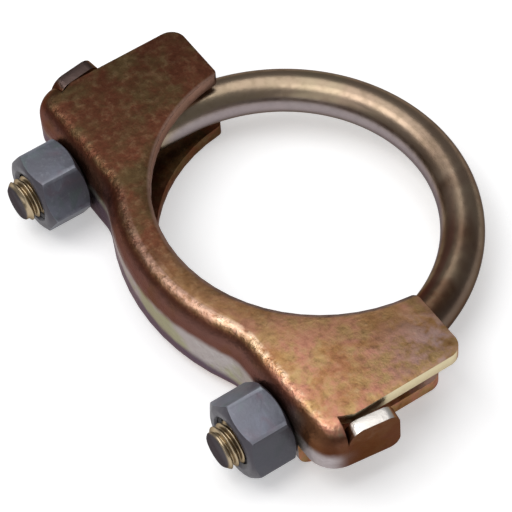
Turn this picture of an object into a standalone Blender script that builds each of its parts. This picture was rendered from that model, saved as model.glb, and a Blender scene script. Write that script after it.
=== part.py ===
# Exhaust clamp: a bent round U-bolt with two threaded legs, a pressed channel saddle
# that the legs pass through, and two hexagon nuts that draw the saddle onto the pipe.
# Lengths are in metres. The clamp lies flat on the saddle's rear flange, +Z up.
# X runs from leg to leg, +Y from the nuts to the loop.
from math import atan2, ceil, cos, pi, radians, sin, sqrt, tan

import bpy
import numpy as np

# Gap left between pieces that touch
SEAT_GAP = 0.0003

# U-bolt
ROD_DIAMETER = 0.008
LEG_SPACING = 0.066
LEG_LENGTH = 0.0348
LEG_END_CHAMFER = 0.0009
ROD_SIDES = 28

# Hexagon nuts
NUT_ACROSS_FLATS = 0.014
NUT_HEIGHT = 0.0090
NUT_CHAMFER_ANGLE = radians(30)
NUT_FACE_DIAMETER = 0.0136
NUT_COUNTERSINK = 0.0005
NUT_TURNS = {"nut_left": radians(58), "nut_right": radians(44)}

# Pressed saddle: seat of the nuts, measured from the bend's centre, sheet and channel
SEAT_Y = -0.0226
SHEET = 0.0025
CHANNEL_WIDTH = 0.0168
FOLD_RADIUS = 0.0040
LEG_HOLE_CLEARANCE = 0.0005

# Bulge of the web over the pipe
BULGE_RISE = 0.0052
BULGE_TO_LEG = 0.0100
BULGE_BLEND_RADIUS = 0.0100

# Lips at the saddle's ends, measured from the legs, the seat and the front flange's face
LIP_BEYOND_LEG = 0.0162
LIP_HEIGHT = 0.0144
LIP_WIDTH = 0.0086
LIP_FRONT_SETBACK = 0.0008
LIP_LEAN = radians(7.5)
LIP_CORNER_RADIUS = 0.0055
LIP_END_CORNER = 0.0022

# Flanges: set back from the lip's outer face (front) and from the lip's bend (rear)
FRONT_FLANGE_SETBACK = 0.0040
REAR_FLANGE_SETBACK = 0.0030
FLANGE_HEIGHT = 0.0308
FLANGE_TIP_CORNER = 0.0030
FLANGE_HORN_CORNER = 0.0012
FLANGE_NOTCH = 0.0025
PIPE_ARC_CLEARANCE = 0.0020
PIPE_ARC_STAND = 0.0073

# Facets of the round faces
ARC_STEP = radians(6)
NUT_BLANK_SIDES = 48
HOLE_SIDES = 32


def clear_scene():
    """Remove every object of the scene that the script starts in."""
    for item in list(bpy.data.objects):
        bpy.data.objects.remove(item, do_unlink=True)


def metal(name, colour, roughness):
    """A plain metal material."""
    made = bpy.data.materials.new(name)
    made.use_nodes = True
    shader = made.node_tree.nodes["Principled BSDF"]
    shader.inputs["Base Color"].default_value = (*colour, 1.0)
    shader.inputs["Roughness"].default_value = roughness
    shader.inputs["Metallic"].default_value = 1.0
    return made


def add_object(name, points, faces, finish, parent, location=(0, 0, 0), sharp=radians(32)):
    """A mesh object from points and faces, smooth where its faces meet gently."""
    mesh = bpy.data.meshes.new(name)
    mesh.from_pydata([tuple(point) for point in points], [], faces)
    mesh.shade_smooth()
    mesh.set_sharp_from_angle(angle=sharp)
    made = bpy.data.objects.new(name, mesh)
    bpy.context.scene.collection.objects.link(made)
    made.location = location
    made.parent = parent
    if finish:
        mesh.materials.append(finish)
    return made


def add_boolean(target, tool, operation):
    """Join a tool to a piece, or cut it away, and hide the tool."""
    step = target.modifiers.new(tool.name, "BOOLEAN")
    step.object = tool
    step.operation = operation
    step.solver = "EXACT"
    tool.hide_render = True
    tool.display_type = "WIRE"


def loft(rings):
    """Points and faces of a closed body through rings of equal point counts."""
    rings = np.asarray(rings)
    ring_count, side_count = rings.shape[:2]
    faces = []
    for ring in range(ring_count - 1):
        for side in range(side_count):
            after = (side + 1) % side_count
            low, high = ring * side_count, (ring + 1) * side_count
            faces.append((low + side, low + after, high + after, high + side))
    faces.append(tuple(reversed(range(side_count))))
    faces.append(tuple(range((ring_count - 1) * side_count, ring_count * side_count)))
    return rings.reshape(-1, 3), faces


def arc_angles(start, end):
    """Angles from start to end, no further apart than ARC_STEP."""
    return np.linspace(start, end, max(2, ceil(abs(end - start) / ARC_STEP - 1e-6) + 1))


def arc(centre, radius, start, end):
    """Plan points on an arc; the angle is the outward normal's, from -Y towards +X."""
    turn = arc_angles(start, end)
    return np.column_stack((centre[0] + radius * np.sin(turn), centre[1] - radius * np.cos(turn)))


def turned(profile, sides, name, finish, parent, location, phase=0.0):
    """A body of rings round the Y axis from (radius, y) pairs, running towards -Y."""
    turn = phase + np.arange(sides) * 2 * pi / sides
    rings = [np.column_stack((radius * np.cos(turn), np.full(sides, y), radius * np.sin(turn)))
             for radius, y in profile]
    return add_object(name, *loft(rings), finish, parent, location)


# U-bolt

def make_u_bolt(finish, parent):
    """One rod: straight leg, half-circle loop, straight leg, with chamfered ends."""
    rod, bend = ROD_DIAMETER / 2, LEG_SPACING / 2
    end = -LEG_LENGTH
    leg = [(end, rod - LEG_END_CHAMFER), (end + LEG_END_CHAMFER, rod)]
    stations = [((bend, y), 0.0, radius) for y, radius in leg]
    stations += [((bend * cos(turn), bend * sin(turn)), turn, rod) for turn in arc_angles(0, pi)]
    stations += [((-bend, y), pi, radius) for y, radius in reversed(leg)]
    around = np.arange(ROD_SIDES) * 2 * pi / ROD_SIDES
    rings = []
    for (x, y), turn, radius in stations:
        outward = radius * np.cos(around)
        rings.append(np.column_stack((x + outward * cos(turn), y + outward * sin(turn),
                                      -radius * np.sin(around))))
    return add_object("u_bolt", *loft(rings), finish, parent)


# Nuts

def make_nut(name, side, finish, parent):
    """A hexagon prism whose corners are turned off at both ends, bored for the rod."""
    corner = NUT_ACROSS_FLATS / 2 / cos(pi / 6)
    half = NUT_HEIGHT / 2
    centre = (side * LEG_SPACING / 2, SEAT_Y - SEAT_GAP - half, 0)
    nut = turned([(corner, half), (corner, -half)], 6, name, finish, parent, centre,
                 NUT_TURNS[name])

    face = NUT_FACE_DIAMETER / 2
    blank_radius = corner + (corner - face)
    shoulder = half - (blank_radius - face) * tan(NUT_CHAMFER_ANGLE)
    blank = turned([(face, half), (blank_radius, shoulder),
                    (blank_radius, -shoulder), (face, -half)],
                   NUT_BLANK_SIDES, f"{name}_blank", None, parent, centre)
    add_boolean(nut, blank, "INTERSECT")

    bore = ROD_DIAMETER / 2 + SEAT_GAP
    mouth = bore + 2 * NUT_COUNTERSINK
    outside, inside = half + NUT_COUNTERSINK, half - NUT_COUNTERSINK
    hole = turned([(mouth, outside), (bore, inside), (bore, -inside), (mouth, -outside)],
                  HOLE_SIDES, f"{name}_bore", None, parent, centre)
    add_boolean(nut, hole, "DIFFERENCE")
    return nut


# Saddle

def lip_edges():
    """Heights of a lip's rear and front edge; it stands past the end of the front flange."""
    front = CHANNEL_WIDTH / 2 - LIP_FRONT_SETBACK
    return front - LIP_WIDTH, front


def lip_corner():
    """Centre of the bend between the web and the right lip, and the lip's straight length."""
    bend_height = LIP_CORNER_RADIUS * (1 - sin(LIP_LEAN))
    straight = (LIP_HEIGHT - bend_height) / cos(LIP_LEAN)
    reach = LEG_SPACING / 2 + LIP_BEYOND_LEG
    x = reach - LIP_CORNER_RADIUS * cos(LIP_LEAN) - straight * sin(LIP_LEAN)
    return (x, SEAT_Y + LIP_CORNER_RADIUS), straight


def flange_ends():
    """Half lengths of the front and the rear flange."""
    corner_centre, _ = lip_corner()
    front = LEG_SPACING / 2 + LIP_BEYOND_LEG - FRONT_FLANGE_SETBACK
    return front, corner_centre[0] - REAR_FLANGE_SETBACK


def web_half():
    """Outer face of the web from the middle to the end of the right corner: points and
    outward normals in plan. A bulge over the pipe blends into the flat nut seat."""
    half_width = LEG_SPACING / 2 - BULGE_TO_LEG
    lean = 2 * atan2(BULGE_RISE, half_width)
    bulge_radius = half_width / sin(lean) - BULGE_BLEND_RADIUS
    corner_centre, _ = lip_corner()
    _, rear_end = flange_ends()
    bulge = arc((0, SEAT_Y - BULGE_RISE + bulge_radius), bulge_radius, 0, lean)
    blend = arc((half_width, SEAT_Y - BULGE_BLEND_RADIUS), -BULGE_BLEND_RADIUS, lean, 0)[1:]
    corner = arc(corner_centre, LIP_CORNER_RADIUS, 0, pi / 2 - LIP_LEAN)
    turn = np.concatenate((arc_angles(0, lean), arc_angles(lean, 0)[1:], [0],
                           arc_angles(0, pi / 2 - LIP_LEAN)))
    return (np.concatenate((bulge, blend, [(rear_end, SEAT_Y)], corner)),
            np.column_stack((np.sin(turn), -np.cos(turn))))


def web_path():
    """The whole web from the left corner to the right one."""
    points, normals = web_half()
    mirror = np.array((-1, 1))
    return (np.concatenate((points[:0:-1] * mirror, points)),
            np.concatenate((normals[:0:-1] * mirror, normals)))


def flange_edge(half_length):
    """Right half of a flange's free edge: rounded tip, horn and pipe arc."""
    tip_y = SEAT_Y + FLANGE_HEIGHT
    arc_radius = (LEG_SPACING - ROD_DIAMETER) / 2 + PIPE_ARC_CLEARANCE
    arc_y = SEAT_Y - BULGE_RISE + PIPE_ARC_STAND + arc_radius
    tip = arc((half_length - FLANGE_TIP_CORNER, tip_y - FLANGE_TIP_CORNER), FLANGE_TIP_CORNER,
              pi / 2, pi)
    rise = tip_y - FLANGE_HORN_CORNER - arc_y
    horn_x = sqrt((arc_radius + FLANGE_HORN_CORNER) ** 2 - rise ** 2)
    arc_start = atan2(horn_x, -rise)
    horn = arc((horn_x, tip_y - FLANGE_HORN_CORNER), FLANGE_HORN_CORNER, pi, pi + arc_start)
    pipe = arc((0, arc_y), arc_radius, arc_start, 0)
    return np.concatenate((tip, horn, pipe[1:]))


def both_halves(right):
    """A right half outline that ends on X = 0, continued by its mirror image."""
    return np.concatenate((right, right[-2::-1] * np.array((-1, 1))))


def at_height(plan, z):
    """Plan points lifted to a height."""
    return np.column_stack((plan, np.full(len(plan), z)))


def fold_levels():
    """Heights across the channel's outer face, each with how far the fold steps in: the
    rear fold, the level of the lips' rear edge, the front fold."""
    turn = arc_angles(0, pi / 2)
    heights = CHANNEL_WIDTH / 2 - FOLD_RADIUS + FOLD_RADIUS * np.sin(turn)
    steps = FOLD_RADIUS * (1 - np.cos(turn))
    rear_lip, _ = lip_edges()
    return [*zip(-heights[::-1], steps[::-1]), (rear_lip, 0.0), *zip(heights, steps)]


def lip_outline(side):
    """Free outline of a lip past its bend, from its rear edge round the end to its front."""
    _, straight = lip_corner()
    rear, front = lip_edges()
    root = web_half()[0][-1]
    turn = arc_angles(0, pi / 2)
    reach = straight - LIP_END_CORNER * (1 - np.sin(turn))
    inset = LIP_END_CORNER * (1 - np.cos(turn))
    shoulder = front - (CHANNEL_WIDTH / 2 - FOLD_RADIUS)
    along = np.concatenate((reach, reach[::-1], shoulder * (1 - np.cos(turn[:0:-1]))))
    rise = np.concatenate((rear + inset, front - inset[::-1],
                           front - shoulder * (1 - np.sin(turn[:0:-1]))))
    plan = root + np.outer(along, (sin(LIP_LEAN), cos(LIP_LEAN)))
    return np.column_stack((plan, rise)) * np.array((side, 1, 1))


def saddle_face():
    """Outer face of the saddle: web, folds, flanges and lips, as points and faces."""
    path, normals = web_path()
    levels = fold_levels()
    count = len(path)
    points = [at_height(path - step * normals, z) for z, step in levels]
    rear_lip = len(levels) // 2
    front_web = rear_lip + 1
    front_end, rear_end = flange_ends()
    behind = [column for column in range(count) if abs(path[column][0]) <= rear_end]
    faces = []
    for level in range(len(levels) - 1):
        columns = range(count) if level >= rear_lip else behind
        for column, after in zip(columns, columns[1:]):
            low, high = level * count, (level + 1) * count
            faces.append((low + column, low + after, high + after, high + column))

    def add_outline(outline):
        """Add a row of points and return their numbers."""
        start = sum(len(row) for row in points)
        points.append(outline)
        return list(range(start, start + len(outline)))

    notch_y = SEAT_Y + LIP_CORNER_RADIUS + FLANGE_NOTCH
    front_edge = np.concatenate(([(front_end, notch_y)], flange_edge(front_end)))
    front = add_outline(at_height(both_halves(front_edge), CHANNEL_WIDTH / 2))
    rear = add_outline(at_height(both_halves(flange_edge(rear_end)), -CHANNEL_WIDTH / 2))
    top = (len(levels) - 1) * count
    faces.append(tuple(range(top, top + count)) + tuple(front))
    faces.append(tuple(reversed(behind + rear)))

    low, high = rear_lip * count, front_web * count
    right, left = add_outline(lip_outline(1)), add_outline(lip_outline(-1))
    faces.append((low + count - 1, *right, high + count - 1))
    faces.append((high, *reversed(left), low))
    return np.concatenate(points), faces


def without_loose(points, faces):
    """The same faces with only the points that they use."""
    used = sorted({corner for face in faces for corner in face})
    place = {old: new for new, old in enumerate(used)}
    return points[used], [tuple(place[corner] for corner in face) for face in faces]


def make_saddle(finish, parent):
    """A channel pressed from one sheet, with a hole for each leg."""
    saddle = add_object("saddle", *without_loose(*saddle_face()), finish, parent)
    gauge = saddle.modifiers.new("sheet", "SOLIDIFY")
    gauge.thickness = SHEET
    gauge.offset = -1
    gauge.use_even_offset = True
    hole_radius = ROD_DIAMETER / 2 + LEG_HOLE_CLEARANCE
    profile = [(hole_radius, SEAT_Y + 2 * SHEET), (hole_radius, SEAT_Y - SHEET)]
    for side, end in ((1, "right"), (-1, "left")):
        hole = turned(profile, HOLE_SIDES, f"saddle_hole_{end}", None, parent,
                      (side * LEG_SPACING / 2, 0, 0))
        add_boolean(saddle, hole, "DIFFERENCE")
    return saddle


def main():
    clear_scene()
    loop_top = LEG_SPACING / 2 + ROD_DIAMETER / 2
    middle_y = (loop_top - LEG_LENGTH) / 2
    clamp = bpy.data.objects.new("clamp", None)
    clamp.location = (0, -middle_y, CHANNEL_WIDTH / 2)
    bpy.context.scene.collection.objects.link(clamp)

    yellow_zinc = metal("yellow_zinc", (0.42, 0.29, 0.14), 0.32)
    pressed_zinc = metal("pressed_yellow_zinc", (0.45, 0.24, 0.11), 0.45)
    blue_zinc = metal("blue_zinc", (0.33, 0.37, 0.45), 0.45)

    make_u_bolt(yellow_zinc, clamp)
    make_saddle(pressed_zinc, clamp)
    make_nut("nut_left", -1, blue_zinc, clamp)
    make_nut("nut_right", 1, blue_zinc, clamp)


main()
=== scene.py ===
import bpy
import numpy as np
from mathutils import Matrix


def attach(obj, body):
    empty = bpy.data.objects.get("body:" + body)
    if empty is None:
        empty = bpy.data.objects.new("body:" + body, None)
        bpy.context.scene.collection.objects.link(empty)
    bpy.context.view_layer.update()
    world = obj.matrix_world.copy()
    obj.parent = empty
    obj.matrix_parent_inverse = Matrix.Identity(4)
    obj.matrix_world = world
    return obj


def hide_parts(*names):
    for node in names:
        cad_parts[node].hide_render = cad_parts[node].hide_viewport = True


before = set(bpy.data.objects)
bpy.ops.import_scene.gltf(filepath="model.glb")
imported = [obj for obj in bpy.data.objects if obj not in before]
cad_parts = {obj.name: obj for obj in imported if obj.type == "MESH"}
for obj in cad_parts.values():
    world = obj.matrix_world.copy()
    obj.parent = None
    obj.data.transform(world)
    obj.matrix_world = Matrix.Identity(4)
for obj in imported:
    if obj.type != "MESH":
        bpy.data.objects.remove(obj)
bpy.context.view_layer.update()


# Pressed saddle. One piece of 2.5 mm steel sheet, blanked and pressed to a channel, then
# zinc plated and yellow passivated in a barrel, which leaves it mottled red-brown, olive
# and gold, with a fine pebbled grain. Highlights and shade are painted on its edges, fold and web.
saddle_weld_distance = 0.00002
saddle_flat_angle = 0.010
saddle_edge_round = 0.00045
saddle_edge_angle = 0.60
saddle_edge_steps = 3
pipe_middle_y = 0.0094


class Signal:
    """One output socket of a node, with the arithmetic that a finish is written in."""

    def __init__(self, finish, socket):
        self.finish = finish
        self.socket = socket

    def _maths(self, operation, *values, clamp=False):
        return self.finish.node("ShaderNodeMath", {"operation": operation, "use_clamp": clamp},
                                dict(enumerate(values)))

    def __add__(self, other):
        return self._maths("ADD", self, other)

    def __radd__(self, other):
        return self._maths("ADD", other, self)

    def __sub__(self, other):
        return self._maths("SUBTRACT", self, other)

    def __rsub__(self, other):
        return self._maths("SUBTRACT", other, self)

    def __mul__(self, other):
        return self._maths("MULTIPLY", self, other)

    def __rmul__(self, other):
        return self._maths("MULTIPLY", other, self)

    def magnitude(self):
        """The value without its sign."""
        return self._maths("ABSOLUTE", self)

    def clamped(self):
        """The value kept between 0 and 1."""
        return self._maths("ADD", self, 0.0, clamp=True)

    def ramp(self, low, high):
        """0 below low, 1 above high, smooth between them."""
        return self.finish.node("ShaderNodeMapRange", {"interpolation_type": "SMOOTHSTEP"},
                                {"Value": self, "From Min": low, "From Max": high})


class Finish:
    """A material, built from nodes that each come from one method."""

    def __init__(self, name):
        self.material = bpy.data.materials.new(name)
        self.material.use_nodes = True
        self.tree = self.material.node_tree
        self.shader = self.tree.nodes["Principled BSDF"]

    def node(self, kind, settings=None, inputs=None, output=0):
        """Add a node: its settings first, then the values or links of its sockets."""
        made = self.tree.nodes.new(kind)
        for name, value in (settings or {}).items():
            setattr(made, name, value)
        for name, value in (inputs or {}).items():
            self.feed(made.inputs[name], value)
        return Signal(self, made.outputs[output])

    def feed(self, socket, value):
        """Link a signal to a socket, or set the socket to a plain value."""
        if isinstance(value, Signal):
            self.tree.links.new(value.socket, socket)
        elif isinstance(value, tuple) and len(value) == 3 and socket.type == "RGBA":
            socket.default_value = (*value, 1.0)
        else:
            socket.default_value = value

    def coating(self, **inputs):
        """Feed the shader's own sockets; an underscore stands for a space in their names."""
        for name, value in inputs.items():
            self.feed(self.shader.inputs[name.replace("_", " ")], value)

    def place(self, centre=(0, 0, 0), scale=(1, 1, 1)):
        """Object coordinates measured from a centre, stretched by a scale."""
        here = self.node("ShaderNodeTexCoord", output="Object")
        moved = self.node("ShaderNodeVectorMath", {"operation": "SUBTRACT"}, {0: here, 1: centre})
        return self.node("ShaderNodeVectorMath", {"operation": "MULTIPLY"}, {0: moved, 1: scale})

    def distance(self, centre=(0, 0, 0), scale=(1, 1, 1)):
        """The distance from a centre in metres; an axis with a scale of 0 doesn't count."""
        return self.node("ShaderNodeVectorMath", {"operation": "LENGTH"},
                         {0: self.place(centre, scale)}, output="Value")

    def facing(self):
        """The direction that the surface faces, in the piece's own axes."""
        return self.node("ShaderNodeTexCoord", output="Normal")

    def along(self, vector, axis):
        """One coordinate of a vector: 0 for X, 1 for Y, 2 for Z."""
        return self.node("ShaderNodeSeparateXYZ", inputs={"Vector": vector}, output=axis)

    def blotches(self, vector, size, detail=3.0, roughness=0.55, distortion=0.0):
        """Smooth noise of a feature size in metres, 0 to 1 round 0.5."""
        return self.node("ShaderNodeTexNoise", inputs={
            "Vector": vector, "Scale": 1 / size, "Detail": detail, "Roughness": roughness,
            "Distortion": distortion})

    def tint(self, amount, first, second):
        """A colour that goes from first to second as amount goes from 0 to 1."""
        return self.node("ShaderNodeMix", {"data_type": "RGBA"},
                         {0: amount, 6: first, 7: second}, output=2)

    def relief(self, height, depth, under=None):
        """A bump of a depth in metres from a height signal of 0 to 1."""
        inputs = {"Height": height, "Distance": depth, "Strength": 1.0}
        if under is not None:
            inputs["Normal"] = under
        return self.node("ShaderNodeBump", inputs=inputs)


def pressed_yellow_zinc():
    """Mottled yellow passivate on a pressed sheet. Along the saddle the film goes from
    red-brown and olive on the left to gold and pink on the right. Across it, the front fold
    has a painted highlight along its crest and painted shade below, and the web is pale on
    its crown with painted purple shade by the rear fold. Places are in metres: x to the right
    leg, y to the loop, z to the front."""
    finish = Finish("pressed_yellow_zinc_finish")
    here, facing = finish.place(), finish.facing()
    x, y, z = (finish.along(here, axis) for axis in range(3))
    to_right, to_loop, to_front = (finish.along(facing, axis) for axis in range(3))
    to_nuts = 0.0 - to_loop
    nutward = 0.0 - y
    from_middle = x.magnitude()
    from_pipe = finish.distance((0.0, pipe_middle_y, 0.0), (1.0, 1.0, 0.0))
    broad = finish.blotches(here, 0.0100, detail=4.0, distortion=0.5)
    patch = finish.blotches(here, 0.0042, detail=3.0, roughness=0.6)
    speckle = finish.blotches(here, 0.0015, detail=4.0, roughness=0.65)
    grain = finish.blotches(here, 0.0008, detail=2.0)

    # The film over the whole sheet, with straw and umber specks.
    red_brown, olive = (0.140, 0.048, 0.027), (0.118, 0.074, 0.034)
    gold, pink = (0.465, 0.295, 0.130), (0.590, 0.262, 0.180)
    orange_brown = (0.360, 0.165, 0.060)
    straw, umber = (0.52, 0.36, 0.20), (0.075, 0.035, 0.018)
    left_film = finish.tint((broad + patch).ramp(0.80, 1.20), red_brown, olive)
    right_film = finish.tint(patch.ramp(0.38, 0.63), gold, pink)
    right_film = finish.tint(broad.ramp(0.47, 0.60) * 0.70, right_film, orange_brown)
    rightward = (x * 20.0 + broad * 0.8).ramp(0.15, 1.25)
    sheet = finish.tint(rightward, left_film, right_film)
    sheet = finish.tint(speckle.ramp(0.45, 0.85) * (0.25 + rightward * 0.35), sheet, straw)
    sheet = finish.tint((1.0 - speckle).ramp(0.45, 0.80) * 0.50, sheet, umber)

    # The front flange's right half: browner beside the pipe arc, lavender at its tip.
    arc_brown, lavender = (0.270, 0.150, 0.070), (0.55, 0.46, 0.46)
    by_the_arc = (1.0 - from_pipe.ramp(0.0320, 0.0400)) * rightward
    sheet = finish.tint(by_the_arc * 0.45, sheet, arc_brown)
    right_tip = x.ramp(0.030, 0.043) * y.ramp(-0.010, 0.004) * to_front.ramp(0.85, 0.97)
    sheet = finish.tint(right_tip * patch.ramp(0.40, 0.62) * 0.55, sheet, lavender)

    # The front fold: a painted highlight along its crest, broken into beads and brighter to the
    # right, and a brown corner.
    highlight_copper, highlight_straw = (0.46, 0.285, 0.22), (0.74, 0.54, 0.38)
    corner_brown = (0.150, 0.066, 0.032)
    on_crest = to_nuts.ramp(0.06, 0.20) * (1.0 - to_nuts.ramp(0.34, 0.60)) * z.ramp(0.0120, 0.0135)
    highlight_strength = (0.03 + x.ramp(-0.024, 0.012) * 0.77) * (1.0 - x.ramp(0.026, 0.040) * 0.35)
    painted_crest_highlight = on_crest * highlight_strength
    highlight_beads = (speckle - x.ramp(0.016, 0.034) * 0.13).ramp(0.28, 0.60)
    crest_highlight = finish.tint(x.ramp(0.008, 0.024), highlight_copper, highlight_straw)
    corner_fold = to_nuts.ramp(0.30, 0.60) * x.ramp(0.032, 0.040)
    sheet = finish.tint(corner_fold, sheet, corner_brown)
    sheet = finish.tint(painted_crest_highlight * highlight_beads, sheet, crest_highlight)

    # The web's outer face: pale grey and olive on its crown, painted purple with shade by the
    # rear fold and painted red-brown with shade under the front fold. The right corner keeps the
    # fold's brown.
    pale_grey, pale_olive = (0.42, 0.39, 0.38), (0.36, 0.36, 0.24)
    rear_shade_purple, shade_red_brown = (0.130, 0.100, 0.130), (0.115, 0.034, 0.020)
    web_face = to_nuts.ramp(0.60, 0.90) * nutward.ramp(0.0205, 0.0225)
    crown = (z + x * 0.10 + broad * 0.002).ramp(0.0068, 0.0086)
    shade_under_fold = to_nuts.ramp(0.45, 0.70) * (z + broad * 0.003).ramp(0.0114, 0.0134)
    right_corner = x.ramp(0.0355, 0.0420) * z.ramp(0.0095, 0.0125)
    web = finish.tint(broad.ramp(0.46, 0.62), pale_grey, pale_olive)
    web = finish.tint(crown, rear_shade_purple, web)
    sheet = finish.tint(web_face * (1.0 - right_corner), sheet, web)
    sheet = finish.tint(shade_under_fold * (1.0 - right_corner) * 0.9, sheet, shade_red_brown)

    # The ends: dark lips, and a pale foot where the web turns into the right lip, painted purple
    # with shade along its rear edge.
    lip_brown, foot_grey = (0.085, 0.033, 0.017), (0.50, 0.46, 0.47)
    lips = from_middle.ramp(0.0440, 0.0465) * (1.0 - to_front.ramp(0.55, 0.80))
    sheet = finish.tint(lips * 0.92, sheet, lip_brown)
    foot = x.ramp(0.0385, 0.0425) * (1.0 - (z - patch * 0.002).ramp(0.0085, 0.0110))
    foot = foot * to_nuts.ramp(0.02, 0.70) * nutward.ramp(0.0165, 0.0195)
    foot_film = finish.tint(z.ramp(0.0020, 0.0045), rear_shade_purple, foot_grey)
    sheet = finish.tint(foot * 0.9, sheet, foot_film)

    # Painted light on the sheared edges: a white highlight on the right lip's top, dull on the
    # left one, a yellow highlight on the front flange's ends, and a rosy highlight on the left of
    # the pipe arc that turns to painted shade on its right.
    dull_zinc, lip_highlight_white = (0.090, 0.062, 0.055), (0.80, 0.76, 0.71)
    end_highlight_yellow = (0.66, 0.58, 0.38)
    arc_highlight_rosy, arc_shade_dark = (0.27, 0.165, 0.125), (0.105, 0.085, 0.095)
    on_front_sheet = z.ramp(0.0135, 0.0142)
    lip_top = from_middle.ramp(0.0452, 0.0456) * to_front.ramp(0.75, 0.92)
    lip_top = lip_top * z.ramp(0.0145, 0.0150) * y.ramp(-0.0186, -0.0178)
    sheet = finish.tint(lip_top, sheet, finish.tint(rightward, dull_zinc, lip_highlight_white))
    flange_end = from_middle.ramp(0.0444, 0.0448) * (1.0 - from_middle.ramp(0.0455, 0.0457))
    flange_end = flange_end * to_right.magnitude().ramp(0.75, 0.92) * on_front_sheet
    sheet = finish.tint(flange_end, sheet, end_highlight_yellow)
    arc_edge = (1.0 - from_pipe.ramp(0.0312, 0.0318)) * on_front_sheet
    sheet = finish.tint(arc_edge * 0.8, sheet, finish.tint(rightward, arc_highlight_rosy, arc_shade_dark))

    # A fine grain all over, and coarser pebbles on the fold and the web, which stretched most.
    stretched = to_nuts.ramp(0.05, 0.35)
    pebbles = finish.relief(grain, 0.00003)
    pebbles = finish.relief(speckle * (0.22 + stretched), 0.00018, pebbles)
    finish.coating(Base_Color=sheet, Metallic=1.0, Specular_Tint=(0.55, 0.45, 0.43),
                   Roughness=0.34 + patch.ramp(0.3, 0.7) * 0.12 - painted_crest_highlight * 0.10,
                   Normal=finish.relief(patch, 0.00008, pebbles))
    return finish.material


def pressed_copy(node, name):
    """A copy of a CAD piece with its loose triangles merged, its flat faces whole again and
    its sheared edges rounded, as tumbling in the plating barrel rounds them."""
    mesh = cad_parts[node].data.copy()
    mesh.name = name
    mesh.materials.clear()
    piece = bpy.data.objects.new(name, mesh)
    bpy.context.scene.collection.objects.link(piece)
    weld = piece.modifiers.new("weld", "WELD")
    weld.merge_threshold = saddle_weld_distance
    flat = piece.modifiers.new("flat faces", "DECIMATE")
    flat.decimate_type = "DISSOLVE"
    flat.angle_limit = saddle_flat_angle
    edge = piece.modifiers.new("edge", "BEVEL")
    edge.width = saddle_edge_round
    edge.segments = saddle_edge_steps
    edge.limit_method = "ANGLE"
    edge.angle_limit = saddle_edge_angle
    edge.harden_normals = True
    return piece


pressed_saddle = pressed_copy("saddle", "pressed_saddle")
pressed_saddle.data.materials.append(pressed_yellow_zinc())
pressed_saddle.data.shade_smooth()
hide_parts("saddle")
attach(pressed_saddle, "saddle")


# U-bolt. One 8 mm mild steel rod with an M8 thread rolled on both ends, then bent cold round
# a former; zinc plated and yellow passivated, smooth and satin bright on the bend.
rod_radius = 0.004
leg_x = 0.033
bend_y = -0.0011
rod_z = 0.0084
leg_length = 0.0348
end_chamfer = 0.0009
thread_length = 0.0290
thread_fade = 0.0015
thread_pitch = 0.00125
thread_depth = 0.00070
thread_crest_share = 0.14
thread_flank_share = 0.72
thread_root_power = 1.15
rod_facets = 64
chamfer_rows = 4
thread_rows = 330
shank_rows = 8
bend_rows = 145


def surface(name, grid, closed_rows=False, closed_columns=False, caps=False):
    """A mesh object from a grid of points, rows by columns. Each quad joins a point to the
    next column and the next row; a closed direction joins its last line to its first, and
    caps close the first and the last row."""
    rows, columns = grid.shape[:2]
    row = np.arange(rows if closed_rows else rows - 1)
    column = np.arange(columns if closed_columns else columns - 1)
    r, c = np.meshgrid(row, column, indexing="ij")
    after_r, after_c = (r + 1) % rows, (c + 1) % columns
    quads = np.stack((r * columns + c, r * columns + after_c,
                      after_r * columns + after_c, after_r * columns + c), axis=-1)
    faces = quads.reshape(-1, 4).tolist()
    if caps:
        faces.append(list(range(columns))[::-1])
        faces.append(list(range((rows - 1) * columns, rows * columns)))
    mesh = bpy.data.meshes.new(name)
    mesh.from_pydata(grid.reshape(-1, 3).tolist(), [], faces)
    mesh.shade_smooth()
    piece = bpy.data.objects.new(name, mesh)
    bpy.context.scene.collection.objects.link(piece)
    return piece


def thread_cut(along, around):
    """Depth of a rolled thread, 0 at the crest and 1 at the root: a triangle wave of the
    distance along the leg less the turn round it, with flattened crest and rounded root."""
    phase = (along / thread_pitch - around / (2 * np.pi)) % 1.0
    wave = np.abs(2 * phase - 1)
    flank = np.clip((wave - thread_crest_share) / thread_flank_share, 0.0, 1.0)
    return flank ** thread_root_power


def bent_rod():
    """The rod's surface. For a distance s along its centre line and a turn a round it, the
    point is centre(s) + radius(s, a) * (cos a * outward(s) + sin a * down). The radius is the
    rod's less the deeper of the thread's cut and the chamfer at the cut end."""
    threaded = np.arange(1, thread_rows) / thread_rows
    leg = np.concatenate((np.linspace(0, end_chamfer, chamfer_rows),
                          end_chamfer + (thread_length - end_chamfer) * threaded,
                          np.linspace(thread_length, leg_length, shank_rows)))
    bend = np.linspace(0, np.pi, bend_rows)[1:-1]
    straight = np.ones(len(leg))
    x = np.concatenate((leg_x * straight, leg_x * np.cos(bend), -leg_x * straight))
    y = np.concatenate((leg - leg_length, leg_x * np.sin(bend), leg[::-1] - leg_length)) + bend_y
    turn = np.concatenate((0 * straight, bend, np.pi * straight))[:, None]
    from_end = np.concatenate((leg, np.full(len(bend), leg_length), leg[::-1]))[:, None]
    around = np.arange(rod_facets) * 2 * np.pi / rod_facets
    hand = np.where(turn > np.pi / 2, -1.0, 1.0)
    fade = np.clip((thread_length - from_end) / thread_fade, 0, 1)
    thread = thread_depth * thread_cut(from_end, around * hand) * fade
    chamfer = np.clip(end_chamfer - from_end, 0, None)
    radius = rod_radius - np.maximum(thread, chamfer)
    outward, down = radius * np.cos(around), radius * np.sin(around)
    return np.stack((x[:, None] + outward * np.cos(turn),
                     y[:, None] + outward * np.sin(turn),
                     rod_z - down), axis=-1)


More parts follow.
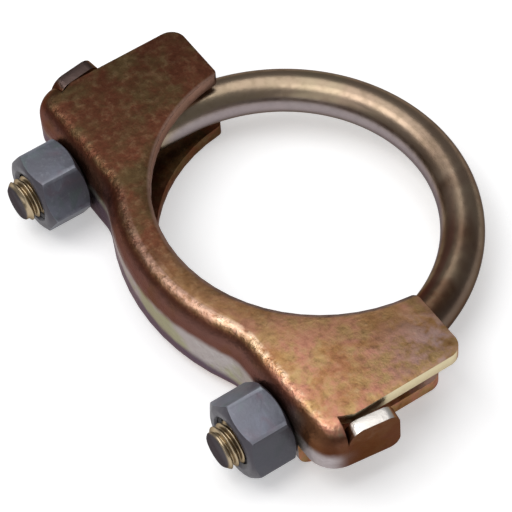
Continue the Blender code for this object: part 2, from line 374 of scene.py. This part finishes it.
def yellow_zinc():
    """Satin yellow passivate on a smooth rod. The film is olive and tan on the left and
    reddish brown on the right, painted darker with shade on the outside of the bend and down
    the legs, and painted lavender on its inside as a reflection, with a thin red streak there
    on the right. The thread is straw-coloured, brightened as a painted highlight."""
    finish = Finish("yellow_zinc_finish")
    here = finish.place()
    x, nutward = finish.along(here, 0), 0.0 - finish.along(here, 1)
    from_bend = finish.distance((0.0, bend_y, 0.0), (1.0, 1.0, 0.0))
    film = finish.blotches(here, 0.0220, detail=3.0, distortion=0.8)
    fine = finish.blotches(here, 0.0016, detail=3.0)

    olive, tan = (0.33, 0.262, 0.178), (0.34, 0.250, 0.180)
    reddish_brown, fine_brown = (0.118, 0.062, 0.036), (0.18, 0.135, 0.080)
    coat = finish.tint(film.ramp(0.38, 0.60), olive, tan)
    coat = finish.tint((film + x * 10.0).ramp(0.60, 0.92), coat, reddish_brown)
    coat = finish.tint(fine.ramp(0.45, 0.75) * 0.30, coat, fine_brown)

    # Painted shade on the outside of the bend and down the legs, and a painted lavender reflection
    # inside the bend.
    outer_shade_brown, lavender = (0.145, 0.112, 0.090), (0.280, 0.245, 0.265)
    streak_red = (0.180, 0.060, 0.045)
    streak = 1.0 - (from_bend - 0.0310).magnitude().ramp(0.0002, 0.0011)
    coat = finish.tint(from_bend.ramp(0.0345, 0.0368) * 0.7, coat, outer_shade_brown)
    coat = finish.tint(streak * x.ramp(0.010, 0.024) * 0.6, coat, streak_red)
    coat = finish.tint((1.0 - from_bend.ramp(0.0290, 0.0298)) * 0.8, coat, lavender)

    # The thread's straw is the studs' gold film, brightened as a painted highlight.
    straw, cut_grey = (0.50, 0.40, 0.26), (0.095, 0.085, 0.090)
    cut_end = nutward.ramp(0.0354, 0.0358)
    coat = finish.tint(nutward.ramp(0.0300, 0.0320) * 0.8, coat, straw)
    coat = finish.tint(cut_end, coat, cut_grey)
    finish.coating(Base_Color=coat, Metallic=1.0, Specular_Tint=(0.32, 0.30, 0.30),
                   Roughness=0.28 + fine.ramp(0.35, 0.7) * 0.08 + cut_end * 0.20,
                   Normal=finish.relief(fine, 0.00003))
    return finish.material


u_bolt_rod = surface("u_bolt_rod", bent_rod(), closed_columns=True, caps=True)
u_bolt_rod.data.materials.append(yellow_zinc())
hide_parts("u_bolt")
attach(u_bolt_rod, "u_bolt")


# Hexagon nuts. Cold forged steel, chamfered at both ends and tapped M8, zinc plated with a
# dull blue-grey passivate; one is run up each leg until it seats on the saddle's web.
nut_half_flats = 0.0070
nut_height = 0.0090
nut_middle_y = -0.0285
nut_face_radius = 0.0064
nut_chamfer = np.radians(33)
nut_edge_round = 0.00012
nut_rim_drop = 0.00004
nut_corner_width = 0.035
nut_mouth_radius = 0.00505
nut_mouth_round = 0.0001
nut_mouth_depth = 0.0005
nut_thread_radius = 0.00440
nut_thread_depth = 0.00045
nut_columns = 192
nut_bore_rows = 85
nut_cone_steps = (0.25, 0.50, 0.75, 0.94)
nut_sharp_angle = np.radians(24)
nut_corners = {"nut_left": np.radians(58), "nut_right": np.radians(44)}
# The left nut is painted in shade and the right one lit by scaling their colours; the right nut's
# right flats are painted darker with shade.
nut_painted_brightness = {"nut_left": 0.86, "nut_right": 1.16}
nut_right_flat_shades = {"nut_left": 0.0, "nut_right": 0.85}


def hexagon_nut(side, corner):
    """The nut's surface: a profile carried round the axis. For a turn a, the flats stand at
    h(a) = half flats / cos(angle from the nearest flat's middle), the chamfer cone starts at
    the face circle and falls at 33 degrees until it meets them, and the bore is tapped. The
    profile runs over one face, the flats and the other face, and back through the bore."""
    turn = np.arange(nut_columns) * 2 * np.pi / nut_columns
    off_flat = turn % (np.pi / 3) - np.pi / 6
    from_corner = np.pi / 6 - np.abs(off_flat)
    flats = nut_half_flats / np.cos(off_flat)
    flats = flats - nut_edge_round * np.exp(-(from_corner / nut_corner_width) ** 2)
    half, fall, each = nut_height / 2, np.tan(nut_chamfer), np.ones(nut_columns)
    overhang = flats - nut_face_radius
    cone = np.array(nut_cone_steps)[:, None] * overhang
    face_radius = np.vstack((nut_mouth_radius * each, (nut_mouth_radius + nut_mouth_round) * each,
                             (nut_face_radius - nut_edge_round) * each, nut_face_radius * each,
                             nut_face_radius + cone, flats))
    face_y = np.vstack(((half - nut_mouth_round) * each, half * each,
                        half * each, (half - nut_rim_drop) * each,
                        half - cone * fall, half - overhang * fall - nut_edge_round))
    bore_y = np.linspace(nut_mouth_depth - half, half - nut_mouth_depth, nut_bore_rows)
    bore_y = bore_y[:, None] * each
    bore_radius = nut_thread_radius + nut_thread_depth * (1 - thread_cut(bore_y, side * turn))
    radius = np.vstack((face_radius, face_radius[::-1], bore_radius))
    y = np.vstack((face_y, -face_y[::-1], bore_y))
    return np.stack((side * leg_x + radius * np.cos(turn + corner), y + nut_middle_y,
                     rod_z + radius * np.sin(turn + corner)), axis=-1)


def blue_zinc(centre, shade, right_flat_shade):
    """Dull blue-grey passivate: cloudy grey-blue that turns lavender and teal with the film's
    thickness, darker on the end faces, with painted shade in the bore, rubbed paler along the
    corners. All its colours are scaled by shade, a painted brightness that lights one nut and
    shades the other, and the flats that face right carry painted shade of a given strength."""
    finish = Finish("blue_zinc_finish")
    here, facing = finish.place(centre), finish.facing()
    from_axis = finish.distance(centre, (1.0, 0.0, 1.0))
    cloud = finish.blotches(here, 0.0050, detail=4.0)
    film = finish.blotches(here, 0.0036, detail=2.0, distortion=0.6)
    speck = finish.blotches(here, 0.0009, detail=2.0)

    film_colours = np.array(((0.135, 0.137, 0.165), (0.185, 0.195, 0.240),
                             (0.125, 0.170, 0.165), (0.165, 0.125, 0.155))) * shade
    grey, blue, teal, lavender = (tuple(colour) for colour in film_colours.tolist())
    coat = finish.tint(cloud.ramp(0.35, 0.68), grey, blue)
    coat = finish.tint(film.ramp(0.52, 0.70) * 0.6, coat, teal)
    coat = finish.tint((1.0 - film).ramp(0.52, 0.70) * 0.6, coat, lavender)

    pale_speck, worn_corner = (0.25, 0.26, 0.29), (0.30, 0.31, 0.35)
    flat_shade_grey, end_grey = (0.062, 0.060, 0.072), (0.066, 0.060, 0.074)
    bore_shade_brown = (0.040, 0.034, 0.036)
    at_corner = from_axis.ramp(0.00770, 0.00800) * (0.3 + speck * 0.5)
    painted_flat_shade = finish.along(facing, 0).ramp(0.60, 0.85) * right_flat_shade
    end_face = finish.along(facing, 1).magnitude().ramp(0.35, 0.75)
    in_bore = 1.0 - from_axis.ramp(0.0045, 0.0052)
    coat = finish.tint(speck.ramp(0.55, 0.75) * 0.30, coat, pale_speck)
    coat = finish.tint(at_corner, coat, worn_corner)
    # Painted shade on the flats that face right and in the bore.
    coat = finish.tint(painted_flat_shade, coat, flat_shade_grey)
    coat = finish.tint(end_face, coat, end_grey)
    coat = finish.tint(in_bore, coat, bore_shade_brown)
    finish.coating(Base_Color=coat, Metallic=0.45, Roughness=0.38 + cloud.ramp(0.3, 0.7) * 0.14,
                   Normal=finish.relief(speck, 0.00005, finish.relief(film, 0.00008)))
    return finish.material


for nut_name, nut_side in (("nut_left", -1), ("nut_right", 1)):
    nut = surface(f"{nut_name}_hexagon", hexagon_nut(nut_side, nut_corners[nut_name]),
                  closed_rows=True, closed_columns=True)
    nut.data.materials.append(blue_zinc((nut_side * leg_x, nut_middle_y, rod_z),
                                        nut_painted_brightness[nut_name], nut_right_flat_shades[nut_name]))
    nut.data.set_sharp_from_angle(angle=nut_sharp_angle)
    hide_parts(nut_name)
    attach(nut, nut_name)


# Studio. The clamp lies on its rear flange on a white table. Two large soft lights hang over
# its left side, a weak one stands in front of it on the right, and the room round it is grey.
table_half_width = 3.0
table_colour = (0.90, 0.90, 0.90)
table_glow = (0.38, 0.38, 0.38)
table_white_radius = 0.12
table_edge_radius = 0.50
room_grey = (0.26, 0.26, 0.27, 1.0)
room_strength = 0.9
clamp_middle = (0.0, 0.0, 0.01)


def studio_table():
    """A white table top: plain matt white, with a glow that only the camera and reflections
    see, and that fades out away from the clamp."""
    finish = Finish("table_white")
    near = 1.0 - finish.distance().ramp(table_white_radius, table_edge_radius)
    path = [finish.node("ShaderNodeLightPath", output=name)
            for name in ("Is Camera Ray", "Is Glossy Ray", "Is Transmission Ray")]
    seen = (path[0] + path[1] + path[2]).clamped()
    finish.coating(Base_Color=table_colour, Roughness=0.9, Emission_Strength=1.0,
                   Emission_Color=finish.tint(seen * near, (0.0, 0.0, 0.0), table_glow))
    return finish.material


def stand(thing, right, up, back, place):
    """Put a light or a camera at a place, with its own right, up and back directions."""
    rows = [[right[i], up[i], back[i], place[i]] for i in range(3)]
    thing.matrix_world = Matrix(rows + [[0, 0, 0, 1]])


def soft_light(name, place, width, depth, power):
    """An oblong area light that faces the clamp, its depth along Y. It looks along -back,
    right = Y x back, and up = back x right."""
    lamp = bpy.data.lights.new(name, "AREA")
    lamp.shape = "RECTANGLE"
    lamp.size = width
    lamp.size_y = depth
    lamp.energy = power
    made = bpy.data.objects.new(name, lamp)
    bpy.context.scene.collection.objects.link(made)
    back = np.array(place) - np.array(clamp_middle)
    back = back / np.linalg.norm(back)
    right = np.cross((0, 1, 0), back)
    right = right / np.linalg.norm(right)
    stand(made, right, np.cross(back, right), back, place)


table_corners = [(table_half_width * x, table_half_width * y, 0.0)
                 for x, y in ((-1, -1), (1, -1), (1, 1), (-1, 1))]
table_mesh = bpy.data.meshes.new("table_top")
table_mesh.from_pydata(table_corners, [], [(0, 1, 2, 3)])
table_top = bpy.data.objects.new("table_top", table_mesh)
bpy.context.scene.collection.objects.link(table_top)
table_mesh.materials.append(studio_table())

room = bpy.data.worlds.new("studio_room")
bpy.context.scene.world = room
room.use_nodes = True
room.node_tree.nodes["Background"].inputs["Color"].default_value = room_grey
room.node_tree.nodes["Background"].inputs["Strength"].default_value = room_strength

soft_light("key_light", (-0.15, -0.36, 0.90), width=0.92, depth=0.46, power=4.4)
soft_light("far_light", (-0.165, 0.17, 0.90), width=0.85, depth=0.48, power=2.2)
soft_light("front_light", (0.35, -0.75, 0.45), width=0.80, depth=0.50, power=1.0)


# Camera. It looks down on the clamp from the right and from the nuts' side, a little over
# half a metre away, through a long lens.
lens_length = 195.784
sensor_width = 36.0
nearest_distance = 0.01
camera_place = (0.26322, -0.15749, 0.40038)
camera_right = (0.55603, 0.82952, -0.05218)
camera_up = (-0.64223, 0.46863, 0.60657)
camera_back = (0.52762, -0.30376, 0.79332)

lens = bpy.data.cameras.new("photo_camera")
lens.lens = lens_length
lens.sensor_width = sensor_width
lens.clip_start = nearest_distance
camera = bpy.data.objects.new("photo_camera", lens)
bpy.context.scene.collection.objects.link(camera)
stand(camera, camera_right, camera_up, camera_back, camera_place)
bpy.context.scene.camera = camera
bpy.context.scene.view_settings.view_transform = "Standard"
